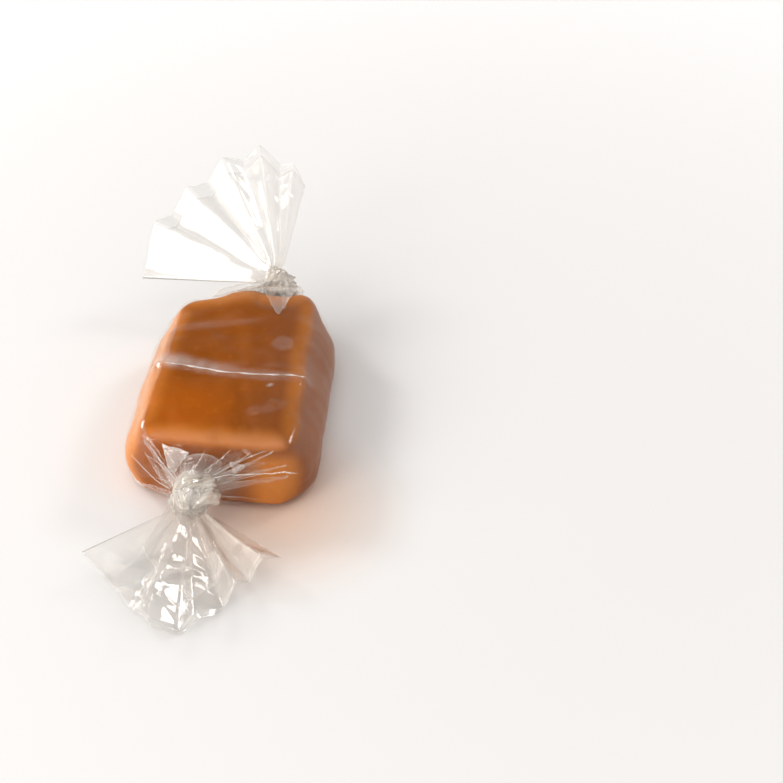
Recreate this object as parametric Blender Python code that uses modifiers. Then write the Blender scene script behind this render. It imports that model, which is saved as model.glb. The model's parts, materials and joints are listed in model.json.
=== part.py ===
# Wrapped caramel candy: a soft caramel block in a sheet of clear film, rolled round it
# and twisted shut at both ends, each end finishing in a flared, pleated tail.
#
# Frame: X along the candy, Y across it, Z up. The origin is on the flat base under the
# block, near its middle. Metres.

import math

import bmesh
import bpy
import numpy as np

MM = 0.001

# Caramel block
BLOCK_TOP_LENGTH = 32.0 * MM
BLOCK_BASE_LENGTH = 35.0 * MM
BLOCK_TOP_WIDTH = 19.6 * MM
BLOCK_BASE_WIDTH = 25.6 * MM
BLOCK_HEIGHT = 10.0 * MM
BLOCK_SAG = 0.9 * MM            # how far the sides bulge half way up
BLOCK_SQUARENESS = 8.0          # superellipse power: 2 is round, higher is boxier
BLOCK_CELLS = 12                # grid cells along each side of the block
BLOCK_SKEW = 0.045              # the right-hand side is this share longer than the middle
BLOCK_TAPER = 0.055             # the top is this share wider in front, and narrower behind
CORNER_PINCH = 0.27             # how far the base's corners are drawn in, as a share of its width
BACK_BULGE = 3.0 * MM           # the hand-cut back end swells out this far, right of its middle
RIDGE_X = 1.0 * MM              # the top is highest along this line across it
RIDGE_FALL = 0.045              # slope of the top on each side of that line

# Film
FILM_THICKNESS = 0.25 * MM
FILM_GAP = 0.35 * MM            # clear space between film and caramel
FILM_OFFSET = FILM_THICKNESS + FILM_GAP
COLUMNS = 36                    # points round the film
PLEATS = 9                      # gathers round each end
LAP_STEP = 0.3 * MM             # how far the overlapping free edge stands proud
LAP_START, LAP_END = 0.25, 0.75  # the lap, in radians round from the right-hand side

# Twisted necks and tails
NECK_RADIUS = 2.2 * MM
NECK_LENGTH = 2.6 * MM
NECK_TWIST = math.radians(200)
NECK_PLEAT = 0.22 * MM
GATHER_PLEAT = 0.55 * MM
FLARE_END = 0.3                 # share of the tail in which it opens from round to flat
TAIL_FOLDS = 3.0                # zigzag folds across a tail
TAIL_FOLD_HEIGHT = 1.3 * MM
TAIL_OPENING = 1.5 * MM         # half the gap between a tail's two layers at its rim
TAIL_CLEARANCE = 0.4 * MM       # lowest point of a tail above the base plane

# Each end: which way it points, where its neck starts, the headings of its tail's two
# edges, and the tail's reach and rise in even steps from one edge to the other
FRONT = {
    "side": 1.0,
    "neck": (19.8 * MM, -2.6 * MM, 4.8 * MM),
    "spread": (math.radians(-48), math.radians(56)),
    "rim": (17.0 * MM, 18.0 * MM, 22.0 * MM, 17.5 * MM, 15.0 * MM, 16.0 * MM),
    "rise": (-1.0 * MM, -3.0 * MM, -3.6 * MM, -2.8 * MM, -1.4 * MM, -1.0 * MM),
}
REAR = {
    "side": -1.0,
    "neck": (-22.4 * MM, 3.5 * MM, 7.0 * MM),
    "spread": (math.radians(-8), math.radians(76)),
    "rim": (15.5 * MM, 18.0 * MM, 17.0 * MM, 18.0 * MM, 19.5 * MM, 18.5 * MM),
    "rise": (7.0 * MM, 12.0 * MM, 10.5 * MM, 8.0 * MM, 4.0 * MM, 0.5 * MM),
}

SLEEVE_END = 0.995              # where the sleeve stops, as a share of the half length
SLEEVE_STATIONS = 11
GATHER_STATIONS = 6
NECK_STATIONS = 5
TAIL_STATIONS = 8


def clear_scene():
    for old in list(bpy.data.objects):
        bpy.data.objects.remove(old, do_unlink=True)


def smoothstep(value):
    clipped = np.clip(value, 0.0, 1.0)
    return clipped * clipped * (3.0 - 2.0 * clipped)


def make_material(name, colour, roughness, alpha=1.0):
    material = bpy.data.materials.new(name)
    material.use_nodes = True
    shader = material.node_tree.nodes["Principled BSDF"]
    shader.inputs["Base Color"].default_value = (*colour, 1.0)
    shader.inputs["Roughness"].default_value = roughness
    shader.inputs["Metallic"].default_value = 0.0
    shader.inputs["Alpha"].default_value = alpha
    return material


def add_object(name, mesh, material, collection):
    part = bpy.data.objects.new(name, mesh)
    part.data.materials.append(material)
    part.data.shade_smooth()
    collection.objects.link(part)
    return part


def slumped(along, across, height, offset):
    """Stretch a point of the unit block (each from -1 to 1) into the slumped block."""
    level = 0.5 * (height + 1.0)
    narrowing = level ** 1.5
    sag = BLOCK_SAG * np.sin(math.pi * np.clip(level, 0.0, 1.0)) ** 2
    half_length = 0.5 * (BLOCK_BASE_LENGTH + (BLOCK_TOP_LENGTH - BLOCK_BASE_LENGTH) * narrowing)
    half_width = 0.5 * (BLOCK_BASE_WIDTH + (BLOCK_TOP_WIDTH - BLOCK_BASE_WIDTH) * narrowing)
    low = 1.0 - np.clip(level, 0.0, 1.0)
    pinch = CORNER_PINCH * low ** 0.7 * np.abs(along) ** 7
    bulge = BACK_BULGE * (1.0 - 0.4 * low) * (1.0 - ((across - 0.3) / 1.3) ** 2)
    x = along * (half_length * (1.0 + BLOCK_SKEW * across) + offset)
    x = x - bulge * np.clip(-along, 0.0, 1.0) ** 2
    y = across * ((half_width + sag) * (1.0 - pinch + BLOCK_TAPER * along * level) + offset)
    z = FILM_OFFSET + level * BLOCK_HEIGHT + height * offset
    return x, y, z - top_fall(x, z)


def top_fall(x, z):
    """How far the top drops away from the ridge line, fading to nothing at the base."""
    return RIDGE_FALL * np.abs(x - RIDGE_X) * np.clip(z / BLOCK_HEIGHT, 0.0, 1.0)


def build_caramel(material, collection):
    mesh = bpy.data.meshes.new("caramel")
    bm = bmesh.new()
    bmesh.ops.create_cube(bm, size=2.0)
    bmesh.ops.subdivide_edges(bm, edges=bm.edges, cuts=BLOCK_CELLS - 1, use_grid_fill=True)
    power = BLOCK_SQUARENESS
    for vert in bm.verts:
        unit = [math.tan(c * 0.25 * math.pi) for c in vert.co]
        reach = sum(abs(c) ** power for c in unit) ** (1.0 / power)
        vert.co = slumped(*(c / reach for c in unit), 0.0)
    bmesh.ops.recalc_face_normals(bm, faces=bm.faces)
    bm.to_mesh(mesh)
    bm.free()
    return add_object("caramel", mesh, material, collection)


def rounded_section(turn, power):
    """A unit superellipse: across and height, each from -1 to 1, for angles round it."""
    across = np.sign(np.cos(turn)) * np.abs(np.cos(turn)) ** (2.0 / power)
    height = np.sign(np.sin(turn)) * np.abs(np.sin(turn)) ** (2.0 / power)
    return across, height


def sleeve_ring(turn, along):
    """Film lying on the block: flat underneath, with the free edge lapped at one side."""
    scale = (1.0 - abs(along) ** BLOCK_SQUARENESS) ** (1.0 / BLOCK_SQUARENESS)
    across, height = rounded_section(turn, BLOCK_SQUARENESS)
    x, y, z = slumped(along, scale * across, scale * height, FILM_OFFSET)
    lapped = (turn > LAP_START) & (turn < LAP_END)
    return np.stack([x, y + LAP_STEP * lapped, np.maximum(z, 0.0)], axis=1)


def gather_ring(turn, tail, last_sleeve, share):
    """Film drawn in from the end of the block to the neck, in radial pleats."""
    neck = np.array(tail["neck"])
    neck_across, neck_height = np.cos(turn), np.sin(turn)
    ring = np.stack([np.full_like(turn, neck[0]), neck[1] + NECK_RADIUS * neck_across,
                     neck[2] + NECK_RADIUS * neck_height], axis=1)
    outward = share ** 1.6
    inward = share ** 0.9
    mixed = last_sleeve * (1.0 - inward) + ring * inward
    mixed[:, 0] = last_sleeve[:, 0] + (neck[0] - last_sleeve[:, 0]) * outward
    pleat = GATHER_PLEAT * math.sin(math.pi * share) * np.cos(PLEATS * turn)
    mixed[:, 0] += tail["side"] * (pleat + GATHER_PLEAT * math.sin(math.pi * share))
    return mixed


def neck_ring(turn, tail, share):
    """The twisted neck: a small pleated tube, narrowest at its middle."""
    neck = np.array(tail["neck"])
    angle = turn + NECK_TWIST * share
    waist = 1.0 - 0.12 * math.sin(math.pi * share)
    radius = NECK_RADIUS * waist + NECK_PLEAT * share * np.cos(PLEATS * turn)
    x = neck[0] + tail["side"] * NECK_LENGTH * share
    return np.stack([np.full_like(turn, x), neck[1] + radius * np.cos(angle),
                     neck[2] + radius * np.sin(angle)], axis=1)


def tail_ring(turn, tail, share):
    """The flared tail: two pleated layers opening out from the neck to a zigzag rim."""
    neck = np.array(tail["neck"])
    start = neck + np.array([tail["side"] * NECK_LENGTH, 0.0, 0.0])
    angle = np.mod(turn + NECK_TWIST, 2.0 * math.pi)
    across = 2.0 * np.abs(angle / math.pi - 1.0) - 1.0
    low, high = tail["spread"]
    heading = low + (high - low) * 0.5 * (across + 1.0)
    rim_steps = np.linspace(-1.0, 1.0, len(tail["rim"]))
    reach = np.interp(across, rim_steps, tail["rim"])
    rise = np.interp(across, rim_steps, tail["rise"])
    fold = np.abs(np.mod(TAIL_FOLDS * (across + 1.0), 2.0) - 1.0) * 2.0 - 1.0
    layer = np.sin(angle)
    flare = smoothstep(share / FLARE_END)
    flat_x = tail["side"] * share * reach * np.cos(heading)
    flat_y = share * reach * np.sin(heading) * tail["side"]
    flat_z = (share * rise + fold * TAIL_FOLD_HEIGHT * share
              + layer * (NECK_RADIUS + (TAIL_OPENING - NECK_RADIUS) * share))
    round_y = NECK_RADIUS * np.cos(angle)
    round_z = NECK_RADIUS * np.sin(angle)
    x = start[0] + flat_x
    y = start[1] + round_y * (1.0 - flare) + flat_y
    z = start[2] + round_z * (1.0 - flare) + flat_z * flare
    return np.stack([x, y, np.maximum(z, TAIL_CLEARANCE)], axis=1)


def end_rings(turn, tail, last_sleeve):
    rings = []
    for step in range(1, GATHER_STATIONS + 1):
        rings.append(gather_ring(turn, tail, last_sleeve, step / GATHER_STATIONS))
    for step in range(1, NECK_STATIONS + 1):
        rings.append(neck_ring(turn, tail, step / NECK_STATIONS))
    for step in range(1, TAIL_STATIONS + 1):
        rings.append(tail_ring(turn, tail, step / TAIL_STATIONS))
    return rings


def build_wrapper(material, collection):
    turn = np.arange(COLUMNS) * 2.0 * math.pi / COLUMNS
    places = SLEEVE_END * np.sin(np.linspace(-0.5, 0.5, SLEEVE_STATIONS) * math.pi)
    sleeve = [sleeve_ring(turn, along) for along in places]
    rings = end_rings(turn, REAR, sleeve[0])[::-1] + sleeve + end_rings(turn, FRONT, sleeve[-1])

    mesh = bpy.data.meshes.new("wrapper")
    bm = bmesh.new()
    loops = [[bm.verts.new(point) for point in ring] for ring in rings]
    for ring, following in zip(loops[:-1], loops[1:]):
        for i in range(COLUMNS):
            j = (i + 1) % COLUMNS
            bm.faces.new((ring[i], ring[j], following[j], following[i]))
    bm.normal_update()
    bm.to_mesh(mesh)
    bm.free()
    part = add_object("wrapper", mesh, material, collection)
    wall = part.modifiers.new("film", "SOLIDIFY")
    wall.thickness = FILM_THICKNESS
    wall.offset = -1.0
    return part


def main():
    clear_scene()
    collection = bpy.data.collections.new("wrapped_caramel_candy")
    bpy.context.scene.collection.children.link(collection)
    toffee = make_material("caramel", (0.47, 0.16, 0.02), 0.35)
    clear_film = make_material("clear_film", (0.95, 0.92, 0.88), 0.1, alpha=0.3)
    build_caramel(toffee, collection)
    build_wrapper(clear_film, collection)


main()
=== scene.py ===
# Wrapped caramel candy: caramel block, clear twist film, studio light
import json
import math
import bmesh
import bpy
import numpy as np
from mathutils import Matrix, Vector

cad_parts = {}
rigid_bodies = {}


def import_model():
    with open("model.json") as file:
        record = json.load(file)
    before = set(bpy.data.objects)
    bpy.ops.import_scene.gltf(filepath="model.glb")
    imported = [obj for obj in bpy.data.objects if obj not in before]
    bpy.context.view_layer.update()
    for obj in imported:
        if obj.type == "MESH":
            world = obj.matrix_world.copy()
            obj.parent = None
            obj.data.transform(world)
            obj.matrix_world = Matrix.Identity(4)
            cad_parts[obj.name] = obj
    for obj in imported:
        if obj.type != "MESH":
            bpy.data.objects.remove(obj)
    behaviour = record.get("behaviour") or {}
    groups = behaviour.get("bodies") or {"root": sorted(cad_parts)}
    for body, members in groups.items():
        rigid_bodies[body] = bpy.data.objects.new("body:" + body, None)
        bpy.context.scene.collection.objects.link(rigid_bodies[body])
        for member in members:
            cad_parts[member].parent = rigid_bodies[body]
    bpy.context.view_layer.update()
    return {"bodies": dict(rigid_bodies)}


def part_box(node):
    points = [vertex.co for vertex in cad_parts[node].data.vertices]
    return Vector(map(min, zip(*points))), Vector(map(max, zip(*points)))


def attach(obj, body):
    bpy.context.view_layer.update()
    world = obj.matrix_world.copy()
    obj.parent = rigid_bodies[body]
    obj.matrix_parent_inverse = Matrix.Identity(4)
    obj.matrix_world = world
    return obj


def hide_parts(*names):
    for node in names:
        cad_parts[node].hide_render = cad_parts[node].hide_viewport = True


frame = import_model()
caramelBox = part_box("caramel")
mm = 0.001
body = list(frame["bodies"])[0]


class Field:  # wraps a socket so that shader and geometry maths read as expressions
    def __init__(self, maker, socket):
        self.maker = maker
        self.socket = socket

    def _math(self, operation, *values):
        return self.maker.node("ShaderNodeMath", {"operation": operation}, dict(enumerate(values)))

    def __add__(self, other):
        return self._math("ADD", self, other)

    def __radd__(self, other):
        return self._math("ADD", other, self)

    def __sub__(self, other):
        return self._math("SUBTRACT", self, other)

    def __rsub__(self, other):
        return self._math("SUBTRACT", other, self)

    def __mul__(self, other):
        return self._math("MULTIPLY", self, other)

    def __rmul__(self, other):
        return self._math("MULTIPLY", other, self)

    def __truediv__(self, other):
        return self._math("DIVIDE", self, other)

    def __pow__(self, other):
        return self._math("POWER", self, other)

    def __neg__(self):
        return self._math("MULTIPLY", self, -1.0)


class NodeMaker:  # one way to add any node: its type, settings first, then socket values or links
    def __init__(self, tree):
        self.tree = tree

    def node(self, kind, settings=None, inputs=None, output=0):
        made = self.tree.nodes.new(kind)
        for key, value in (settings or {}).items():
            setattr(made, key, value)
        for key, value in (inputs or {}).items():
            socket = made.inputs[key]
            if isinstance(value, Field):
                self.tree.links.new(value.socket, socket)
            else:
                socket.default_value = value
        return Field(self, made.outputs[output]) if len(made.outputs) else made

    def mixColour(self, factor, first, second):
        return self.node("ShaderNodeMix", {"data_type": "RGBA"}, {0: factor, 6: first, 7: second}, 2)

    def ramp(self, value, low, high):  # 0 below low, 1 above high, smooth between
        return self.node("ShaderNodeMapRange", {"interpolation_type": "SMOOTHSTEP"},
                         {"Value": value, "From Min": low, "From Max": high})

    def objectPlace(self):
        return self.node("ShaderNodeTexCoord", output=3)

    def noise(self, place, scale, detail=3.0, roughness=0.5):
        return self.node("ShaderNodeTexNoise", {"noise_dimensions": "3D"},
                         {"Vector": place, "Scale": scale, "Detail": detail, "Roughness": roughness})


def newMaterial(name):
    material = bpy.data.materials.new(name)
    material.use_nodes = True
    material.node_tree.nodes.clear()
    return material, NodeMaker(material.node_tree)


def addObject(name, data):
    made = bpy.data.objects.new(name, data)
    bpy.context.scene.collection.objects.link(made)
    return made


def smoothStep(value):
    clipped = np.clip(value, 0.0, 1.0)
    return clipped * clipped * (3.0 - 2.0 * clipped)


def bump(value, centre, width):  # soft hump, 1 at its centre and 0 beyond its width
    return smoothStep(1.0 - np.abs(value - centre) / width)


evenSkew = 0.36602540378  # (sqrt(3) - 1) / 2, which makes the triangles of a crumple even


def facets(u, v, size, turnBy, seed):  # flat triangles between random heights, as crumpled film has
    c, s = math.cos(turnBy), math.sin(turnBy)
    a = (u * c - v * s) / size
    b = (u * s + v * c) / size
    skew = (a + b) * evenSkew
    i, j = np.floor(a + skew), np.floor(b + skew)
    fa, fb = a + skew - i, b + skew - j

    def height(p, q):  # from -1 to 1, scrambled from the grid place by large primes
        p, q = p.astype(np.int64), q.astype(np.int64)
        h = (p * 73856093) ^ (q * 19349663) ^ (seed * 83492791)
        h = (h ^ (h >> 13)) * 1274126177
        return ((h ^ (h >> 16)) & 0xFFFF) / 32767.5 - 1.0

    low, high = height(i, j), height(i + 1, j + 1)
    side1, side2 = height(i + 1, j), height(i, j + 1)
    lower = low + fa * (side1 - low) + fb * (side2 - low)
    upper = high + (1 - fa) * (side2 - high) + (1 - fb) * (side1 - high)
    return np.where(fa + fb < 1.0, lower, upper)


def smoothNoise(u, v, size, seed):  # soft random swell
    rng = np.random.default_rng(seed)
    total = np.zeros(np.broadcast(u, v).shape)
    for _ in range(7):
        angle, phase = rng.uniform(0, 2 * math.pi, 2)
        rate = rng.uniform(0.6, 1.5) / size
        total += np.sin((u * math.cos(angle) + v * math.sin(angle)) * rate * 2 * math.pi + phase)
    return total / 3.0


def surfaceNormals(points):  # outward normals of a grid of points [along, round, xyz] that closes round
    alongStep = np.gradient(points, axis=0)
    roundStep = (np.roll(points, -1, axis=1) - np.roll(points, 1, axis=1)) * 0.5
    normal = np.cross(roundStep, alongStep)
    length = np.linalg.norm(normal, axis=2, keepdims=True)
    return normal / np.maximum(length, 1e-12)


def filmPiece(name, patches, material):  # patches: grids of points, their milk, and if they close round
    corners, quads, milks = [], [], []
    start = 0
    for points, milk, closedRound in patches:
        rows, columns = points.shape[:2]
        index = start + np.arange(rows * columns).reshape(rows, columns)
        following = np.roll(index, -1, axis=1)
        if not closedRound:
            index, following = index[:, :-1], index[:, 1:]
        quads.append(np.stack([index[:-1], following[:-1], following[1:], index[1:]], axis=-1).reshape(-1, 4))
        corners.append(points.reshape(-1, 3))
        milks.append(np.broadcast_to(milk, (rows, columns)).reshape(-1))
        start += rows * columns
    mesh = bpy.data.meshes.new(name)
    mesh.from_pydata(np.concatenate(corners).tolist(), [], np.concatenate(quads).tolist())
    mesh.materials.append(material)
    mesh.shade_smooth()
    layer = mesh.attributes.new("milk", "FLOAT", "POINT")
    layer.data.foreach_set("value", np.concatenate(milks).astype(np.float32))
    piece = addObject(name, mesh)
    wall = piece.modifiers.new("wall", "SOLIDIFY")
    wall.thickness = filmLook["thickness"]
    wall.offset = -1.0
    bakeModifiers(piece)
    declare(piece, "wrapper")


def bakeModifiers(piece):
    graph = bpy.context.evaluated_depsgraph_get()
    finished = bpy.data.meshes.new_from_object(piece.evaluated_get(graph))
    finished.name = piece.name
    piece.modifiers.clear()
    piece.data = finished


def declare(piece, node):
    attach(piece, body)
    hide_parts(node)
    print(piece.name, "made,", len(piece.data.polygons), "faces")


blockForm = {
    "topLength": 32.0 * mm,
    "baseLength": 35.0 * mm,
    "topWidth": 19.6 * mm,
    "baseWidth": 25.6 * mm,
    "height": caramelBox[1][2] - caramelBox[0][2],
    "baseZ": caramelBox[0][2],
    "sag": 0.9 * mm,
    "power": 12.0,
    "ridgeX": 1.0 * mm,
    "ridgeFall": 0.045,
    "skew": 0.045,
    "taper": 0.055,
    "cornerPinch": 0.27,
    "backBulge": 3.0 * mm,
    "lip": 2.0 * mm,
}


def onBlock(along, across, height, offset):  # a point of the unit block, set into the slumped block
    form = blockForm
    level = 0.5 * (height + 1.0)
    low = 1.0 - np.clip(level, 0.0, 1.0)
    narrowing = (1.0 - low) ** 1.5
    halfLength = 0.5 * (form["baseLength"] + (form["topLength"] - form["baseLength"]) * narrowing)
    halfWidth = 0.5 * (form["baseWidth"] + (form["topWidth"] - form["baseWidth"]) * narrowing)
    halfWidth = halfWidth + form["sag"] * np.sin(math.pi * low) ** 2
    pinch = form["cornerPinch"] * low ** 0.7 * np.abs(along) ** 7
    lip = form["lip"] * bump(level, 0.78, 0.3) * bump(across, -0.05, 0.6)
    bulge = form["backBulge"] * (1.0 - 0.4 * low) * (1.0 - ((across - 0.3) / 1.3) ** 2) + lip
    x = along * (halfLength * (1.0 + form["skew"] * across) + offset) - bulge * np.clip(-along, 0.0, 1.0) ** 2
    y = across * (halfWidth * (1.0 - pinch + form["taper"] * along * level) + offset)
    z = form["baseZ"] + level * form["height"] + height * offset
    fall = form["ridgeFall"] * np.abs(x - form["ridgeX"]) * np.clip(z / form["height"], 0.0, 1.0)
    return x, y, z - fall


caramelLook = {
    "cells": 96,
    "swells": ((0.22, 13.0, 4), (0.08, 4.5, 9)),  # height and size in mm, seed
    "swellLimits": (-0.3 * mm, 0.1 * mm),
    "skin": 0.2 * mm,
    "floorGap": 0.15 * mm,
    "broadScale": 90.0,
    "fineScale": 700.0,
    "deep": (0.275, 0.068, 0.002),
    "base": (0.32, 0.081, 0.004),
    # painted light: a brighter warm patch on the top front left, where the light falls
    "paintedLight": (0.40, 0.090, 0.0002),
    "paintedLightPlace": (11.0 * mm, -6.0 * mm, 10.0 * mm),
    "paintedLightReach": (11.0 * mm, 2.0 * mm),
    "pale": (0.76, 0.265, 0.04),
    # painted shade: the caramel darker towards its right side, away from the light
    "paintedShadeRight": (0.20, 0.055, 0.010),
    "paintedShadeRightFrom": (-1.0 * mm, 9.0 * mm),
    "shade": (0.13, 0.038, 0.006),
    "roughness": 0.32,
    "glow": 0.35,
    "glowDepth": 2.5 * mm,
}


def caramelMaterial():
    look = caramelLook
    material, make = newMaterial("caramel")
    place = make.objectPlace()
    broad = make.noise(place, look["broadScale"], 2.0)
    fine = make.noise(place, look["fineScale"], 4.0, 0.6)
    colour = make.mixColour(make.ramp(broad, 0.35, 0.68), (*look["deep"], 1.0), (*look["base"], 1.0))
    # pale parts: real wear on the edges mixed with painted highlight, and painted light on the left side and
    # low front
    wornAndLit = make.node("ShaderNodeAttribute", {"attribute_name": "wornAndLit"}, None, 2)
    pale = wornAndLit * (0.7 + 0.6 * broad) + 0.12 * make.ramp(fine, 0.55, 0.75)
    sideways = make.node("ShaderNodeSeparateXYZ", None, {0: place}, 1)
    # painted shade: darker towards the caramel's right side
    colour = make.mixColour(0.5 * make.ramp(sideways, *look["paintedShadeRightFrom"]), colour, (*look["paintedShadeRight"], 1.0))
    # painted light: a warm lit patch on the top front left
    away = make.node("ShaderNodeVectorMath", {"operation": "DISTANCE"}, {0: place, 1: look["paintedLightPlace"]}, 1)
    edge, core = look["paintedLightReach"]
    colour = make.mixColour(make.ramp(-away, -edge, -core), colour, (*look["paintedLight"], 1.0))
    shaded = make.node("ShaderNodeAttribute", {"attribute_name": "shaded"}, None, 2)
    colour = make.mixColour(shaded, colour, (*look["shade"], 1.0))
    colour = make.mixColour(pale, colour, (*look["pale"], 1.0))
    bumpNode = make.node("ShaderNodeBump", None, {"Strength": 0.25, "Distance": 0.0002, "Height": fine})
    shader = make.node("ShaderNodeBsdfPrincipled", None, {
        "Base Color": colour,
        "Roughness": look["roughness"] + 0.15 * broad,
        "IOR": 1.4,
        "Specular IOR Level": 0.22,
        "Subsurface Weight": look["glow"],
        "Subsurface Radius": (1.0, 0.38, 0.1),
        "Subsurface Scale": look["glowDepth"],
        "Normal": bumpNode,
    })
    make.node("ShaderNodeOutputMaterial", None, {"Surface": shader})
    return material


def paleWornAndLit(along, across, height):  # where the caramel is painted pale: its edges, partly real wear and partly painted highlight, and its left side and low right front, painted light through the caramel
    wornAndLit = 0.7 * smoothStep((np.abs(along) ** 2 + np.abs(height) ** 2 - 1.55) / 0.35)
    wornAndLit = np.maximum(wornAndLit, 0.5 * smoothStep((np.abs(across) ** 2 + np.abs(height) ** 2 - 1.5) / 0.4))
    # painted light: the left side paler
    wornAndLit = np.maximum(wornAndLit, 0.85 * smoothStep((-across - 0.9) / 0.1))
    # painted light: the low right of the front face paler
    lowFront = smoothStep((along - 0.85) / 0.15) * smoothStep((across - 0.2) / 0.5)
    return np.maximum(wornAndLit, 0.6 * lowFront * smoothStep((0.9 - height) / 0.5))


def shadedFront(along, across, height):  # the darker middle of the front face
    return 0.65 * smoothStep((along - 0.9) / 0.08) * bump(height, 0.25, 0.75) * bump(across, -0.12, 0.8)


def makeCaramel():
    look = caramelLook
    bm = bmesh.new()
    bmesh.ops.create_cube(bm, size=2.0)
    bmesh.ops.subdivide_edges(bm, edges=bm.edges, cuts=look["cells"] - 1, use_grid_fill=True)
    mesh = bpy.data.meshes.new("caramelBlock")
    bm.to_mesh(mesh)
    bm.free()
    count = len(mesh.vertices)
    cube = np.empty(count * 3)
    mesh.vertices.foreach_get("co", cube)
    unit = np.tan(cube.reshape(-1, 3) * 0.25 * math.pi)
    power = blockForm["power"]
    unit /= (np.sum(np.abs(unit) ** power, axis=1, keepdims=True)) ** (1.0 / power)
    along, across, height = unit.T
    u, v = along * 15, across * 10 + height * 5  # roughly mm over the block's skin
    swell = sum(rise * smoothNoise(u, v, size, seed) for rise, size, seed in look["swells"]) * mm
    x, y, z = onBlock(along, across, height, np.clip(swell, *look["swellLimits"]) + look["skin"])
    points = np.stack([x, y, np.maximum(z, look["floorGap"])], axis=1)
    mesh.vertices.foreach_set("co", points.reshape(-1))
    mesh.update()
    for label, amount in (("wornAndLit", paleWornAndLit), ("shaded", shadedFront)):
        layer = mesh.attributes.new(label, "FLOAT", "POINT")
        layer.data.foreach_set("value", amount(along, across, height).astype(np.float32))
    mesh.shade_smooth()
    mesh.materials.append(caramelMaterial())
    declare(addObject("caramelBlock", mesh), "caramel")


filmLook = {
    "thickness": 0.04 * mm,
    "gloss": 0.06,
    "edgePower": 5.0,
    "wrinkleScale": 900.0,
    "patchScale": 160.0,
    "ownMilkScale": 500.0,
    "tint": (0.994, 0.991, 0.986),
    "white": (1.0, 0.965, 0.925),
    # painted light: a warm tint for caramel-coloured light seen through the bunched film
    "caramelLitCream": (1.0, 0.925, 0.84),
}


def filmMaterial(name, headOn, grazing=1.0, ownMilk=None, milkColour=filmLook["white"], soft=0.0):
    # headOn and grazing: light reflected face on and edge on; soft: the share of the milk lit through
    look = filmLook
    material, make = newMaterial(name)
    place = make.objectPlace()
    facing = make.node("ShaderNodeLayerWeight", None, {"Blend": 0.5}, 1)
    if ownMilk is None:
        milk = make.node("ShaderNodeAttribute", {"attribute_name": "milk"}, None, 2)
    else:
        milk = make.ramp(make.noise(place, look["ownMilkScale"]), 0.2, 0.6) * ownMilk
    fine = make.noise(place, look["wrinkleScale"], 3.0, 0.55)
    patch = make.noise(place, look["patchScale"], 2.0)
    bumpNode = make.node("ShaderNodeBump", None, {"Strength": 0.12, "Distance": 0.0001, "Height": fine})
    reflect = headOn + (grazing - headOn) * facing ** look["edgePower"]
    cloudy = milk * (0.5 + 0.5 * make.ramp(patch, 0.3, 0.7))
    total = reflect + (1.0 - reflect) * cloudy
    clear = make.node("ShaderNodeBsdfTransparent", None, {"Color": (*look["tint"], 1.0)})
    glossy = make.node("ShaderNodeBsdfPrincipled", None, {
        "Base Color": (*milkColour, 1.0),
        "Metallic": reflect / total,
        "Roughness": look["gloss"] + 0.08 * patch,
        "Normal": bumpNode,
    })
    if soft > 0.0:
        through = make.node("ShaderNodeBsdfTranslucent", None, {"Color": (*milkColour, 1.0)})
        share = soft * (1.0 - reflect / total)
        glossy = make.node("ShaderNodeMixShader", None, {0: share, 1: glossy, 2: through})
    mixed = make.node("ShaderNodeMixShader", None, {0: total, 1: clear, 2: glossy})
    make.node("ShaderNodeOutputMaterial", None, {"Surface": mixed})
    return material


film = {
    "columns": 216,
    "sleeveRows": 96,
    "gatherRows": 64,
    "offset": 0.38 * mm,
    "sleeveEnd": 0.985,
    "floorGap": 0.02 * mm,
    "neckRadius": 2.3 * mm,
    "neckMilk": 0.35,
    "gatherRise": 1.25,
}

frontEnd = {
    "side": 1.0,
    "neck": np.array([19.8, -2.6, 4.8]) * mm,
    "seed": 11,
    "pleats": 15,
    "pleatHeight": 0.5 * mm,
}
rearEnd = {
    "side": -1.0,
    "neck": np.array([-22.4, 3.5, 7.0]) * mm,
    "seed": 29,
    "pleats": 17,
    "pleatHeight": 0.5 * mm,
}


def evenTurns(columns):  # angles round the block's outline that give even steps along it
    dense = np.linspace(0.0, 2.0 * math.pi, 6001)
    y, z = outlineAt(dense)
    length = np.concatenate([[0.0], np.cumsum(np.hypot(np.diff(y), np.diff(z)))])
    wanted = np.arange(columns) / columns * length[-1]
    return np.interp(wanted, length, dense)


def unitOutline(turn):
    across, height = np.cos(turn), np.sin(turn)
    power = blockForm["power"]
    reach = (np.abs(across) ** power + np.abs(height) ** power) ** (1.0 / power)
    return across / reach, height / reach


def outlineAt(turn):
    across, height = unitOutline(turn)
    _, y, z = onBlock(0.0, across, height, film["offset"])
    return y, z


def crease(shareRound, count, seed):  # sharp irregular pleats round an end, from -1 to 1
    rng = np.random.default_rng(seed)
    knots = (np.arange(count) + rng.uniform(-0.35, 0.35, count)) / count
    heights = np.where(np.arange(count) % 2 == 0, 1.0, -1.0) * rng.uniform(0.35, 1.0, count)
    return np.interp(shareRound, knots, heights, period=1.0)


def ridge(distance, before, after):  # sharp crest that falls away over two different widths
    rise = np.clip(1.0 - np.where(distance < 0, -distance / before, distance / after), 0.0, 1.0)
    return rise ** 1.6


topLines = {  # the crease across the block's top and the softer line behind it, in mm
    "mainAt": (-11.0, -9.0, -4.2, 0.5, 6.3, 9.6, 11.0),
    "main": (0.6, 1.2, 2.1, 2.8, 2.95, 2.6, 2.4),
    "crest": (-9.2, 10.4),
    "crestPoints": 90,
    "back": -9.9,
    "backSlope": -0.27,
    "hazeAt": (-8.0, -6.5, 0.5, 7.0),
    "haze": (0.24, 0.24, 0.14, 0.08),
    # painted glints: small whitish spots beside the crease, with their x, y and reach in mm
    "spots": ((4.3, 3.6, 1.0), (4.6, 6.0, 0.8), (-8.0, -5.2, 0.9)),
}


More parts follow.
